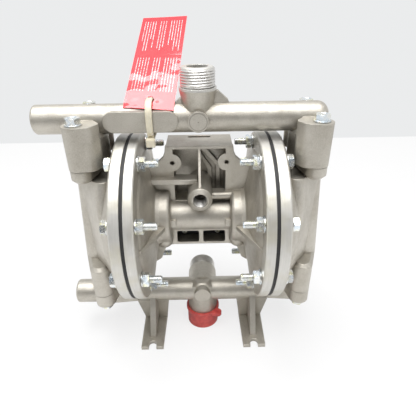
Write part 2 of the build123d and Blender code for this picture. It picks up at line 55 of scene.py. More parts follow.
back = Vector((sin(look_round) * cos(look_down), -cos(look_round) * cos(look_down), sin(look_down)))
level = (-back).cross(Vector((0, 0, 1))).normalized()
upright = level.cross(-back)
across = cos(tilt) * level + sin(tilt) * upright
upward = cos(tilt) * upright - sin(tilt) * level
lens = bpy.data.cameras.new("camera")
lens.sensor_width, lens.lens = 36.0, 31.90
lens.clip_start, lens.clip_end = 0.01, 50.0
camera = bpy.data.objects.new("camera", lens)
camera_turn = Matrix((across, upward, back)).transposed().to_4x4()
camera.matrix_world = Matrix.Translation(aim + distance * back) @ camera_turn
bpy.context.scene.collection.objects.link(camera)
bpy.context.scene.camera = camera


# ---- table and studio light --------------------------------------------------------------
# A white table top that ends a little behind the pump, with a pale grey wall far beyond it.
# A large soft lamp and a small bright one hang overhead, with a weak one at each side in front.
table_half_wide, table_front, table_back = 3.0, -2.0, 0.462
table_paint, table_glow = (0.80, 0.80, 0.80, 1), (0.985, 0.985, 0.985, 1)
glow_to_camera, glow_in_metal = 0.76, 0.05
wall_colour = (0.83, 0.84, 0.845, 1)
room_low, room_high = (0.18, 0.18, 0.18, 1), (0.66, 0.66, 0.66, 1)

table_mesh = bpy.data.meshes.new("table")
table_corners = [(-table_half_wide, table_front, 0), (table_half_wide, table_front, 0),
                 (table_half_wide, table_back, 0), (-table_half_wide, table_back, 0)]
table_mesh.from_pydata(table_corners, [], [(0, 1, 2, 3)])
table = bpy.data.objects.new("table", table_mesh)
bpy.context.scene.collection.objects.link(table)

white_top = bpy.data.materials.new("white_table_top")
white_top.use_nodes = True
tree = white_top.node_tree
paint = tree.nodes["Principled BSDF"]
paint.inputs["Base Color"].default_value = table_paint
paint.inputs["Roughness"].default_value = 0.6
glow = tree.nodes.new("ShaderNodeEmission")
glow.inputs["Color"].default_value = table_glow
seen = tree.nodes.new("ShaderNodeLightPath")
reflected = tree.nodes.new("ShaderNodeMath")
reflected.operation = "MULTIPLY"
reflected.inputs[1].default_value = glow_in_metal
tree.links.new(seen.outputs["Is Glossy Ray"], reflected.inputs[0])
share = tree.nodes.new("ShaderNodeMath")
share.operation = "MULTIPLY_ADD"
share.inputs[1].default_value = glow_to_camera
tree.links.new(seen.outputs["Is Camera Ray"], share.inputs[0])
tree.links.new(reflected.outputs[0], share.inputs[2])
both = tree.nodes.new("ShaderNodeMixShader")
tree.links.new(share.outputs[0], both.inputs["Fac"])
tree.links.new(paint.outputs[0], both.inputs[1])
tree.links.new(glow.outputs[0], both.inputs[2])
tree.links.new(both.outputs[0], tree.nodes["Material Output"].inputs["Surface"])
table_mesh.materials.append(white_top)

room = bpy.data.worlds.new("room")
room.use_nodes = True
bpy.context.scene.world = room
tree = room.node_tree
wall = tree.nodes["Background"]
wall.inputs["Color"].default_value = wall_colour
wall.inputs["Strength"].default_value = 1.0
dim = tree.nodes.new("ShaderNodeBackground")
dim.inputs["Strength"].default_value = 1.0
where = tree.nodes.new("ShaderNodeTexCoord")
height = tree.nodes.new("ShaderNodeSeparateXYZ")
tree.links.new(where.outputs["Generated"], height.inputs[0])
fade = tree.nodes.new("ShaderNodeValToRGB")
fade.color_ramp.elements[0].position, fade.color_ramp.elements[0].color = 0.30, room_low
fade.color_ramp.elements[1].position, fade.color_ramp.elements[1].color = 0.95, room_high
tree.links.new(height.outputs["Z"], fade.inputs["Fac"])
tree.links.new(fade.outputs["Color"], dim.inputs["Color"])
seen = tree.nodes.new("ShaderNodeLightPath")
far_side = tree.nodes.new("ShaderNodeMapRange")
far_side.interpolation_type = "SMOOTHSTEP"
far_side.inputs["From Min"].default_value, far_side.inputs["From Max"].default_value = -1.0, 0.1
tree.links.new(height.outputs["Y"], far_side.inputs["Value"])
seen_or_glossy = tree.nodes.new("ShaderNodeMath")
seen_or_glossy.operation = "MULTIPLY_ADD"
tree.links.new(seen.outputs["Is Glossy Ray"], seen_or_glossy.inputs[0])
tree.links.new(far_side.outputs["Result"], seen_or_glossy.inputs[1])
tree.links.new(seen.outputs["Is Camera Ray"], seen_or_glossy.inputs[2])
both = tree.nodes.new("ShaderNodeMixShader")
tree.links.new(seen_or_glossy.outputs[0], both.inputs["Fac"])
tree.links.new(dim.outputs[0], both.inputs[1])
tree.links.new(wall.outputs[0], both.inputs[2])
tree.links.new(both.outputs[0], tree.nodes["World Output"].inputs["Surface"])

bpy.context.scene.view_settings.view_transform = "Standard"


def hang_lamp(name, spot, wide, deep, watts):
    """Soft lamp at spot that faces the pump, with its wide side along X."""
    light = bpy.data.lights.new(name, "AREA")
    light.shape, light.size, light.size_y, light.energy = "RECTANGLE", wide, deep, watts
    lamp = bpy.data.objects.new(name, light)
    behind = (Vector(spot) - Vector((0, 0, 0.1))).normalized()
    sideways = (Vector((1, 0, 0)) - behind * behind.x).normalized()
    lamp_turn = Matrix((sideways, behind.cross(sideways), behind)).transposed().to_4x4()
    lamp.matrix_world = Matrix.Translation(spot) @ lamp_turn
    bpy.context.scene.collection.objects.link(lamp)


hang_lamp("overhead_lamp", (0.0, -0.32, 1.10), 1.2, 0.8, 12.0)
hang_lamp("small_lamp", (-0.16, 0.10, 1.12), 0.50, 0.30, 5.2)
hang_lamp("left_lamp", (-1.1, -0.45, 0.55), 0.8, 0.6, 1.0)
hang_lamp("right_lamp", (1.1, -0.40, 0.55), 0.8, 0.6, 1.2)


# ---- castings: centre body, fluid caps and manifolds -------------------------------------
# Investment castings in stainless steel, bead blasted to a warm grey satin with soft edges.
# Only the flange rims and the ends that carry the pipe threads are turned bright afterwards.
rod_height = (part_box("diaphragm_rod")[0].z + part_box("diaphragm_rod")[1].z) / 2
flange_radius = (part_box("left_fluid_cap")[1].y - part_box("left_fluid_cap")[0].y) / 2
rim_zone = (37.0 * mm, 53.4 * mm)          # where the two flanges lie along X


def new_finish(name, colour, metal, rough):
    """A finish and its shader, with the values that are even all over."""
    finish = bpy.data.materials.new(name)
    finish.use_nodes = True
    shader = finish.node_tree.nodes["Principled BSDF"]
    shader.inputs["Base Color"].default_value = (*colour, 1)
    shader.inputs["Metallic"].default_value = metal
    shader.inputs["Roughness"].default_value = rough
    return finish, shader


def put(finish, kind, settings=None, **inputs):
    """Adds one node; an input takes a number, a colour or another node's output."""
    made = finish.node_tree.nodes.new("ShaderNode" + kind)
    for key, value in (settings or {}).items():
        setattr(made, key, value)
    for key, value in inputs.items():
        fill(finish, made.inputs[key.replace("_", " ")], value)
    return made


def fill(finish, socket, value):
    """Links a node's output to the socket, or sets an even value on it."""
    if isinstance(value, bpy.types.NodeSocket):
        finish.node_tree.links.new(value, socket)
    else:
        socket.default_value = value


def sum_up(finish, operation, first, second=0.0):
    """One Math node."""
    made = finish.node_tree.nodes.new("ShaderNodeMath")
    made.operation = operation
    fill(finish, made.inputs[0], first)
    fill(finish, made.inputs[1], second)
    return made.outputs[0]


def on_part(finish):
    """The place on the part, in metres, which moves with the part."""
    return put(finish, "TexCoord").outputs["Object"]


def speckle(finish, grain, detail=2.0, stretch=None):
    """Even noise of one grain size, optionally stretched along X, Y and Z."""
    spot = on_part(finish)
    if stretch:
        spot = put(finish, "Mapping", Vector=spot, Scale=stretch).outputs[0]
    return put(finish, "TexNoise", Vector=spot, Scale=1 / grain, Detail=detail).outputs["Fac"]


def stretch_range(finish, value, low, high, to_low=0.0, to_high=1.0):
    """Carries low to high over into to_low to to_high, and holds it at the ends."""
    made = put(finish, "MapRange", Value=value, From_Min=low, From_Max=high, To_Min=to_low,
               To_Max=to_high)
    return made.outputs[0]


def tint(finish, share, first, second):
    """First colour where share is 0, second where it is 1."""
    made = put(finish, "Mix", {"data_type": "RGBA"})
    fill(finish, made.inputs[0], share)
    fill(finish, made.inputs[6], first if isinstance(first, bpy.types.NodeSocket) else (*first, 1))
    fill(finish, made.inputs[7], second if isinstance(second, bpy.types.NodeSocket) else (*second, 1))
    return made.outputs[2]


def relief(finish, height, deep, under=None):
    """Bump as deep as given, on top of another one where there is one under it."""
    made = put(finish, "Bump", Height=height, Distance=deep)
    if under:
        fill(finish, made.inputs["Normal"], under)
    return made.outputs[0]


def soft_edges(finish, radius):
    """Rounds the look of every sharp edge."""
    return put(finish, "Bevel", {"samples": 6}, Radius=radius).outputs[0]


def in_band(finish, value, low, high, blur):
    """1 between low and high, falling to 0 over blur."""
    rise = stretch_range(finish, value, low - blur, low + blur)
    fall = stretch_range(finish, value, high - blur, high + blur, 1.0, 0.0)
    return sum_up(finish, "MULTIPLY", rise, fall)


def cast_steel(name, machined):
    """Blasted casting; machined(finish, place) gives 1 where it was turned bright."""
    dark_patch, light_patch = (0.405, 0.376, 0.322), (0.505, 0.477, 0.422)
    grit_tone, stain_tone = (0.64, 0.615, 0.56), (0.36, 0.325, 0.27)
    painted_corner_shade, deep_shade = (0.20, 0.165, 0.12), (0.11, 0.10, 0.08)
    turned_dark, turned_light = (0.53, 0.52, 0.49), (0.68, 0.667, 0.635)
    turned_yellow = (0.55, 0.52, 0.42)
    finish, shader = new_finish(name, (0.50, 0.47, 0.41), 0.8, 0.46)
    place = put(finish, "SeparateXYZ", Vector=on_part(finish))
    bright = machined(finish, place)
    patches = stretch_range(finish, speckle(finish, 16 * mm, 3.0), 0.35, 0.66)
    grit = speckle(finish, 0.55 * mm, 1.0)
    cast = tint(finish, patches, dark_patch, light_patch)
    cast = tint(finish, stretch_range(finish, grit, 0.35, 0.75, 0.0, 0.45), cast, grit_tone)
    stains = stretch_range(finish, speckle(finish, 5 * mm, 4.0), 0.60, 0.74, 0.0, 0.35)
    cast = tint(finish, stains, cast, stain_tone)
    # painted shade: the two AO terms below darken the casting's colour in tight corners and in deep
    # hollows, where shade falls
    corner = put(finish, "AmbientOcclusion", {"samples": 6}, Distance=2.2 * mm).outputs["AO"]
    cast = tint(finish, stretch_range(finish, corner, 0.35, 0.80, 0.55, 0.0), cast, painted_corner_shade)
    hollow = put(finish, "AmbientOcclusion", {"samples": 6}, Distance=12 * mm).outputs["AO"]
    cast = tint(finish, stretch_range(finish, hollow, 0.06, 0.42, 0.7, 0.0), cast, deep_shade)
    lines = speckle(finish, 0.35 * mm, 1.0, (1.0, 0.02, 0.02))
    turned = tint(finish, lines, turned_dark, turned_light)
    yellowed = stretch_range(finish, speckle(finish, 14 * mm, 2.0), 0.45, 0.68, 0.0, 0.6)
    turned = tint(finish, yellowed, turned, turned_yellow)
    fill(finish, shader.inputs["Base Color"], tint(finish, bright, cast, turned))
    rough = stretch_range(finish, speckle(finish, 3 * mm, 3.0), 0.3, 0.7, 0.38, 0.50)
    rough = sum_up(finish, "ADD", rough, sum_up(finish, "MULTIPLY", bright, 0.07))
    fill(finish, shader.inputs["Roughness"], rough)
    rounded = soft_edges(finish, 0.8 * mm)
    waves = relief(finish, speckle(finish, 6 * mm, 2.0), 0.25 * mm, rounded)
    quiet = sum_up(finish, "SUBTRACT", 1.0, bright)
    blasted = relief(finish, sum_up(finish, "MULTIPLY", grit, quiet), 0.10 * mm, waves)
    scored = relief(finish, sum_up(finish, "MULTIPLY", lines, bright), 0.015 * mm, blasted)
    fill(finish, shader.inputs["Normal"], scored)
    return finish


def give(finish, *names):
    """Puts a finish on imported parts."""
    for name in names:
        for slot in parts[name].material_slots:
            slot.material = finish


def from_rod(finish, place):
    """Distance from the rod's axis."""
    up = sum_up(finish, "SUBTRACT", place.outputs["Z"], rod_height)
    squares = sum_up(finish, "ADD", sum_up(finish, "MULTIPLY", up, up),
                     sum_up(finish, "MULTIPLY", place.outputs["Y"], place.outputs["Y"]))
    return sum_up(finish, "SQRT", squares)


def flange_rim(finish, place):
    """The outer rims of the two clamped flanges on both sides."""
    side = sum_up(finish, "ABSOLUTE", place.outputs["X"])
    rim = in_band(finish, from_rod(finish, place), flange_radius - 0.7 * mm, 2 * flange_radius,
                  0.15 * mm)
    return sum_up(finish, "MULTIPLY", rim, in_band(finish, side, *rim_zone, 0.2 * mm))


give(cast_steel("blasted_cast_steel_with_turned_rims", flange_rim),
     "left_fluid_cap", "right_fluid_cap", "center_body")

port_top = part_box("discharge_manifold")[1].z
thread_long = 11.5 * mm


def port_thread_zone(finish, place):
    """The turned upper end of the outlet tower."""
    shoulder = port_top - thread_long
    return stretch_range(finish, place.outputs["Z"], shoulder - 1.6 * mm, shoulder - 1.3 * mm)


upper_casting = cast_steel("blasted_cast_steel_with_turned_port", port_thread_zone)
give(upper_casting, "discharge_manifold")

# the round boss on its front keeps the ring and centre dot of the cut-off gate
gate_dot, gate_ring = 0.45 * mm, (5.0 * mm, 5.5 * mm)
gate_face_y, gate_face_end = -11.3 * mm, -11.5 * mm
place = put(upper_casting, "SeparateXYZ", Vector=on_part(upper_casting))
up = sum_up(upper_casting, "SUBTRACT", place.outputs["Z"], rod_height + 70.0 * mm)
squares = sum_up(upper_casting, "ADD", sum_up(upper_casting, "MULTIPLY", up, up),
                 sum_up(upper_casting, "MULTIPLY", place.outputs["X"], place.outputs["X"]))
from_middle = sum_up(upper_casting, "SQRT", squares)
marks = sum_up(upper_casting, "ADD",
               in_band(upper_casting, from_middle, -1.0 * mm, gate_dot, 0.12 * mm),
               in_band(upper_casting, from_middle, *gate_ring, 0.15 * mm))
on_face = stretch_range(upper_casting, place.outputs["Y"], gate_face_y, gate_face_end)
marks = sum_up(upper_casting, "MULTIPLY", marks, on_face)
shader = upper_casting.node_tree.nodes["Principled BSDF"]
plain = shader.inputs["Base Color"].links[0].from_socket
fill(upper_casting, shader.inputs["Base Color"],
     tint(upper_casting, sum_up(upper_casting, "MULTIPLY", marks, 0.6), plain, (0.16, 0.14, 0.115)))

rear_port_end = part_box("suction_manifold")[1].y


def rear_thread_zone(finish, place):
    """The turned end of the rear inlet, above the height of the feet."""
    shoulder = rear_port_end - thread_long
    behind = stretch_range(finish, place.outputs["Y"], shoulder, shoulder + 0.3 * mm)
    high = stretch_range(finish, place.outputs["Z"], 12 * mm, 13 * mm)
    return sum_up(finish, "MULTIPLY", behind, high)


give(cast_steel("blasted_cast_steel_with_turned_rear_port", rear_thread_zone), "suction_manifold")


# ---- pipe threads of the ports and the air inlet -----------------------------------------
# Turned threads, one on the outlet at the top, one on the inlet at the back and one cut
# in the air inlet. Each is a sharp helix that fades out where the tool ran in and out.
port_radius = 10.1 * mm
thread_pitch = 1.57 * mm
thread_proud = 0.58 * mm


def link_up(name, mesh_data, finish):
    """Turns worked-out mesh data into a smooth piece with its finish."""
    mesh = bpy.data.meshes.new(name)
    mesh_data.normal_update()
    mesh_data.to_mesh(mesh)
    mesh_data.free()
    mesh.polygons.foreach_set("use_smooth", [True] * len(mesh.polygons))
    mesh.set_sharp_from_angle(angle=radians(32))
    mesh.materials.append(finish)
    piece = bpy.data.objects.new(name, mesh)
    bpy.context.scene.collection.objects.link(piece)
    return piece


def wind_thread(skin, place, root, crest, pitch, long, steps=48, rows_a_turn=8):
    """Thread surface from local Z = 0 to long, its depth fading at both ends."""
    rows = int(long / pitch * rows_a_turn) + 1
    rings = []
    for row in range(rows + 1):
        z = long * row / rows
        fade = min(1.0, z / (0.6 * pitch), (long - z) / (0.6 * pitch))
        ring = []
        for k in range(steps):
            turn = (z / pitch - k / steps) % 1.0
            tooth = 1.0 - abs(2.0 * turn - 1.0)
            r = root + (crest - root) * fade * min(1.0, tooth * 1.3)
            a = 2 * pi * k / steps
            ring.append(skin.verts.new(place @ Vector((r * cos(a), r * sin(a), z))))
        rings.append(ring)
    for low, high in zip(rings, rings[1:]):
        for k in range(steps):
            n = (k + 1) % steps
            skin.faces.new((low[k], low[n], high[n], high[k]))
    return rings


bright_thread, shader = new_finish("turned_steel_thread", (0.60, 0.585, 0.56), 0.95, 0.30)
scratch = speckle(bright_thread, 0.8 * mm, 2.0, (1.0, 1.0, 4.0))
flank = tint(bright_thread, scratch, (0.62, 0.605, 0.58), (0.76, 0.745, 0.72))
# painted shade: AO darkens the thread's colour down in its grooves
groove = put(bright_thread, "AmbientOcclusion", {"samples": 8}, Distance=1.1 * mm).outputs["AO"]
painted_groove_shade = stretch_range(bright_thread, groove, 0.45, 0.85, 0.92, 0.0)
fill(bright_thread, shader.inputs["Base Color"],
     tint(bright_thread, painted_groove_shade, flank, (0.09, 0.085, 0.075)))
fill(bright_thread, shader.inputs["Roughness"], stretch_range(bright_thread, scratch, 0.2, 0.8, 0.26, 0.40))

skin = bmesh.new()
wind_thread(skin, Matrix.Translation((0, 0, port_top - thread_long)), port_radius + 0.05 * mm,
            port_radius + thread_proud, thread_pitch, thread_long - 0.9 * mm, 96)
outlet_thread = link_up("outlet_thread", skin, bright_thread)
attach(outlet_thread, "pump")

low_pipe_height = rod_height - 68.8 * mm
backward = (Matrix.Translation((0, rear_port_end - 0.9 * mm, low_pipe_height))
            @ Matrix.Rotation(pi / 2, 4, "X"))
skin = bmesh.new()
wind_thread(skin, backward, port_radius + 0.05 * mm, port_radius + thread_proud, thread_pitch,
            thread_long - 0.9 * mm, 96)
inlet_thread = link_up("rear_inlet_thread", skin, bright_thread)
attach(inlet_thread, "pump")

# the air inlet is tapped, so its thread is the same helix turned inside out
air_bore_radius, air_thread_pitch, air_thread_long = 4.85 * mm, 0.94 * mm, 10.4 * mm
inlet_face_y, inlet_height = -18.0 * mm, rod_height + 20.0 * mm
into_inlet = (Matrix.Translation((0, inlet_face_y + 11.0 * mm, inlet_height))
              @ Matrix.Rotation(pi / 2, 4, "X"))
skin = bmesh.new()
wind_thread(skin, into_inlet, air_bore_radius - 0.04 * mm, air_bore_radius - 0.55 * mm, air_thread_pitch,
            air_thread_long, 40)
bmesh.ops.reverse_faces(skin, faces=skin.faces)
air_thread = link_up("air_inlet_thread", skin, bright_thread)
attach(air_thread, "pump")


# ---- flange bolts, nuts and washers ------------------------------------------------------
# Eight M5 hex bolts clamp each pair of flanges: heads and washers on the fluid cap, nuts and
# washers on the air side, with the cut thread standing clear. Bright zinc with a faint rainbow.
bolt_circle, bolt_count = 51.0 * mm, 8
bolt_radius, bolt_pitch = 2.45 * mm, 0.8 * mm
hex_flats, head_high, nut_high = 8.0 * mm, 3.5 * mm, 4.0 * mm
washer_radius, washer_thick = 5.0 * mm, 1.0 * mm
air_side_x, fluid_side_x, bolt_tip_x = 37.6 * mm, 52.8 * mm, 24.7 * mm
hand = random.Random(7)

zinc, shader = new_finish("bright_zinc_plate", (0.72, 0.73, 0.72), 0.92, 0.28)
film = speckle(zinc, 4.0 * mm, 1.0)
fine = speckle(zinc, 0.5 * mm, 2.0)
plate = tint(zinc, stretch_range(zinc, film, 0.36, 0.50), (0.66, 0.73, 0.79), (0.78, 0.79, 0.77))
plate = tint(zinc, stretch_range(zinc, film, 0.56, 0.68, 0.0, 0.7), plate, (0.78, 0.78, 0.50))
# painted shade: AO darkens the plating's colour in the hollows round the heads, nuts and washers
hollow = put(zinc, "AmbientOcclusion", {"samples": 4}, Distance=2 * mm).outputs["AO"]
plate = tint(zinc, stretch_range(zinc, hollow, 0.2, 0.8, 0.55, 0.0), plate, (0.16, 0.155, 0.13))
fill(zinc, shader.inputs["Base Color"], plate)
fill(zinc, shader.inputs["Roughness"], stretch_range(zinc, fine, 0.3, 0.7, 0.18, 0.32))
fill(zinc, shader.inputs["Normal"], soft_edges(zinc, 0.18 * mm))


def turn(skin, place, profile, steps=36, close_ends=True):
    """Skin turned round local Z from (radius, height) pairs; a radius may vary with the angle."""
    rings = []
    for radius, height in profile:
        ring = []
        for k in range(steps):
            a = 2 * pi * k / steps
            r = radius(a) if callable(radius) else radius
            h = height(a) if callable(height) else height
            ring.append(skin.verts.new(place @ Vector((r * cos(a), r * sin(a), h))))
        rings.append(ring)
    for low, high in zip(rings, rings[1:]):
        for k in range(steps):
            n = (k + 1) % steps
            skin.faces.new((low[k], low[n], high[n], high[k]))
    if close_ends:
        skin.faces.new(rings[0][::-1])
        skin.faces.new(rings[-1])


def hexagon(flats):
    """Radius of a hexagon in each direction."""
    return lambda a: flats / 2 / cos((a % (pi / 3)) - pi / 6)


def hex_head(skin, place, flats, high, nut=False):
    """Forged hexagon with its corners turned off at 30 degrees, on one face or both."""
    corner = hexagon(flats)
    slope = tan(radians(30))
    top = (corner, lambda a: high - (corner(a) - flats / 2) * slope)
    low = (corner, lambda a: (corner(a) - flats / 2) * slope if nut else 0.0)
    mouth = 0.62 * flats / 2
    crown = 0.93 * flats / 2
    if nut:
        turn(skin, place, [(mouth, 0.3 * mm), (crown, 0.0), low, top, (crown, high),
                           (mouth * 1.08, high), (mouth, high - 0.4 * mm)], 36, False)
    else:
        turn(skin, place, [low, top, (crown, high), (0.70 * flats / 2, high),
                           (0.64 * flats / 2, high - 0.22 * mm)])


def washer(skin, place, bore, outer, thick):
    """Flat ring with its outer edges broken."""
    edge = 0.15 * mm
    turn(skin, place, [(bore, 0), (outer - edge, 0), (outer, edge), (outer, thick - edge),
                       (outer - edge, thick), (bore, thick), (bore, 0)], 32, False)


def cut_thread(skin, place, radius, pitch, long):
    """Bolt end with its thread and a chamfered tip at local Z = long."""
    steps, tip_radius = 16, radius * 0.72
    rings = wind_thread(skin, place, radius * 0.86, radius, pitch, long - 0.5 * mm, steps, 6)
    tip = [skin.verts.new(place @ Vector((tip_radius * cos(2 * pi * k / steps),
                                          tip_radius * sin(2 * pi * k / steps), long)))
           for k in range(steps)]
    for k in range(steps):
        n = (k + 1) % steps
        skin.faces.new((rings[-1][k], rings[-1][n], tip[n], tip[k]))
    skin.faces.new(tip)


def along_x(side, x, y, z):
    """Place with local Z along +X for side 1 and along -X for side -1, turned at random."""
    return (Matrix.Translation((side * x, y, z)) @ Matrix.Rotation(side * pi / 2, 4, "Y")
            @ Matrix.Rotation(hand.uniform(0, 2 * pi), 4, "Z"))


for side, word in ((-1, "left"), (1, "right")):
    heads, nuts = bmesh.new(), bmesh.new()
    for k in range(bolt_count):
        angle = 2 * pi * (k + 0.5) / bolt_count
        y, z = -bolt_circle * sin(angle), rod_height + bolt_circle * cos(angle)
        washer(heads, along_x(side, fluid_side_x, y, z), bolt_radius, washer_radius, washer_thick)
        hex_head(heads, along_x(side, fluid_side_x + washer_thick, y, z), hex_flats, head_high)
        inner_end = air_side_x - washer_thick - nut_high
        cut_thread(heads, along_x(-side, -inner_end - 3 * mm, y, z), bolt_radius, bolt_pitch,
                   inner_end + 3 * mm - bolt_tip_x)
        washer(nuts, along_x(side, air_side_x - washer_thick, y, z), bolt_radius, washer_radius,
               washer_thick)
        hex_head(nuts, along_x(side, inner_end, y, z), hex_flats, nut_high, True)
    bolts = link_up(word + "_clamping_bolts", heads, zinc)
    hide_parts(word + "_flange_bolts")
    nut_set = link_up(word + "_clamping_nuts", nuts, zinc)
    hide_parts(word + "_flange_nuts")
    for piece in (bolts, nut_set):
        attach(piece, "pump")


# ---- manifold bolts ----------------------------------------------------------------------
# Two hex bolts hold each end of the manifolds to the fluid caps, with the top ones standing on
# the elbows and the low ones coming up from under the lugs.
ear_x, ear_y = 72.0 * mm, 19.0 * mm

top_set, low_set = bmesh.new(), bmesh.new()
top_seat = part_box("discharge_bolts")[1].z - head_high - washer_thick
low_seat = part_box("suction_bolts")[0].z + head_high + washer_thick
for x in (-ear_x, ear_x):
    for y in (-ear_y, ear_y):
        spin = Matrix.Rotation(hand.uniform(0, 2 * pi), 4, "Z")
        up = Matrix.Translation((x, y, top_seat)) @ spin
        washer(top_set, up, bolt_radius, washer_radius, washer_thick)
        hex_head(top_set, up @ Matrix.Translation((0, 0, washer_thick)), hex_flats, head_high)
        down = Matrix.Translation((x, y, low_seat)) @ Matrix.Rotation(pi, 4, "X") @ spin
        washer(low_set, down, bolt_radius, washer_radius, washer_thick)
        hex_head(low_set, down @ Matrix.Translation((0, 0, washer_thick)), hex_flats, head_high)
for mesh_data, name, node in ((top_set, "top_manifold_bolts", "discharge_bolts"),
                              (low_set, "low_manifold_bolts", "suction_bolts")):
    piece = link_up(name, mesh_data, zinc)
    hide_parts(node)
    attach(piece, "pump")


# ---- diaphragms --------------------------------------------------------------------------
# Moulded black rubber discs; only their edges show between the flanges, dull and slightly dusty.
rubber, shader = new_finish("black_diaphragm_rubber", (0.02, 0.02, 0.021), 0.0, 0.62)
dust = speckle(rubber, 1.2 * mm, 3.0)
fill(rubber, shader.inputs["Base Color"], tint(rubber, dust, (0.008, 0.008, 0.009), (0.026, 0.025, 0.024)))
fill(rubber, shader.inputs["Roughness"], stretch_range(rubber, dust, 0.2, 0.8, 0.5, 0.75))
fill(rubber, shader.inputs["Normal"], relief(rubber, dust, 0.08 * mm))
give(rubber, "left_diaphragm", "right_diaphragm", "left_diaphragm_centre", "right_diaphragm_centre",
     "left_rod_seal", "right_rod_seal", "valve_gasket")


# ---- black plugs in the lower windows ----------------------------------------------------
# Moulded black plastic end pieces of the pilot gear, seen through the two low windows,
# each held by a small chrome cross-head screw.
plug_face_y, plug_deep = 11.0 * mm, 5.0 * mm
plug_half_wide, plug_low, plug_high = 8.0 * mm, rod_height - 23.9 * mm, rod_height - 14.3 * mm
plug_x = 9.65 * mm

black_plastic, shader = new_finish("black_moulded_plastic", (0.018, 0.018, 0.019), 0.0, 0.38)
grain = speckle(black_plastic, 0.4 * mm, 2.0)
fill(black_plastic, shader.inputs["Base Color"],
     tint(black_plastic, grain, (0.012, 0.012, 0.013), (0.03, 0.03, 0.032)))
fill(black_plastic, shader.inputs["Roughness"],
     stretch_range(black_plastic, grain, 0.2, 0.8, 0.3, 0.5))
fill(black_plastic, shader.inputs["Normal"], relief(black_plastic, grain, 0.05 * mm))

for side, word in ((-1, "left"), (1, "right")):
    skin = bmesh.new()
    bmesh.ops.create_cube(skin, size=1.0)
    bmesh.ops.scale(skin, vec=(2 * plug_half_wide, plug_deep, plug_high - plug_low), verts=skin.verts)
    plug_middle = (side * plug_x, plug_face_y + plug_deep / 2, (plug_high + plug_low) / 2)
    bmesh.ops.translate(skin, vec=plug_middle, verts=skin.verts)
    front = [f for f in skin.faces if f.normal.y < -0.9]
    bmesh.ops.inset_region(skin, faces=front, thickness=1.1 * mm, depth=-0.9 * mm)
    sharp = [e for e in skin.edges if e.calc_face_angle(0) > 1.0]
    bmesh.ops.bevel(skin, geom=sharp, offset=0.3 * mm, segments=2, affect="EDGES")
    plug = link_up(word + "_window_plug", skin, black_plastic)
    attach(plug, "pump")
    skin = bmesh.new()
    facing = (Matrix.Translation((side * 12.5 * mm, plug_face_y + 1.0 * mm, rod_height - 21.4 * mm))
              @ Matrix.Rotation(pi / 2, 4, "X"))
    turn(skin, facing, [(2.0 * mm, 0.0), (2.1 * mm, 0.9 * mm), (1.5 * mm, 1.6 * mm),
                        (0.5 * mm, 1.7 * mm), (0.3 * mm, 1.1 * mm)], 24)
    screw = link_up(word + "_plug_screw", skin, zinc)
    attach(screw, "pump")


# ---- push-on cap -------------------------------------------------------------------------
# Soft red polythene cap pushed over the lower port, cloudy and a little scuffed.
red_cap, shader = new_finish("red_polythene", (0.50, 0.065, 0.06), 0.0, 0.36)
cloud = speckle(red_cap, 4 * mm, 3.0)
scuff = speckle(red_cap, 0.6 * mm, 3.0)
red = tint(red_cap, stretch_range(red_cap, cloud, 0.3, 0.7), (0.50, 0.055, 0.052), (0.70, 0.11, 0.092))
red = tint(red_cap, stretch_range(red_cap, scuff, 0.60, 0.80, 0.0, 0.4), red, (0.75, 0.30, 0.27))
fill(red_cap, shader.inputs["Base Color"], red)
shader.inputs["Subsurface Weight"].default_value = 0.25
shader.inputs["Subsurface Radius"].default_value = (1.0, 0.3, 0.2)
shader.inputs["Subsurface Scale"].default_value = 1.5 * mm
fill(red_cap, shader.inputs["Roughness"], stretch_range(red_cap, scuff, 0.2, 0.8, 0.28, 0.48))
fill(red_cap, shader.inputs["Normal"], relief(red_cap, cloud, 0.15 * mm, soft_edges(red_cap, 0.5 * mm)))
give(red_cap, "port_cap")


# ---- hang tag ----------------------------------------------------------------------------
# Laminated red card with a slight curl, leaning back on the upper pipe and held by its eyelet.
# Its face carries plain ruled lines only.
tag_wide, tag_long, tag_thick = 30.6 * mm, 81.6 * mm, 0.8 * mm
tag_lean, tag_turn, tag_x = radians(34), radians(-5.5), -29.8 * mm
top_pipe_height, pipe_radius = rod_height + 70.0 * mm, 9.15 * mm
touch_y, touch_z = -pipe_radius * sin(tag_lean), top_pipe_height + pipe_radius * cos(tag_lean)
tag_place = (Matrix.Translation((tag_x, touch_y, touch_z))
             @ Matrix.Rotation(tag_lean, 4, "X") @ Matrix.Rotation(tag_turn, 4, "Z")
             @ Matrix.Translation((0, -1.5 * mm, 0)))
eyelet_x, eyelet_y, eyelet_radius = 0.4 * mm, 7.4 * mm, 2.4 * mm
card_thick, rules = 0.45 * mm, 17.0
print_columns = ((0.08, 0.35), (0.41, 0.60), (0.65, 0.94))
print_blocks = ((0.60, 0.95), (0.17, 0.52))

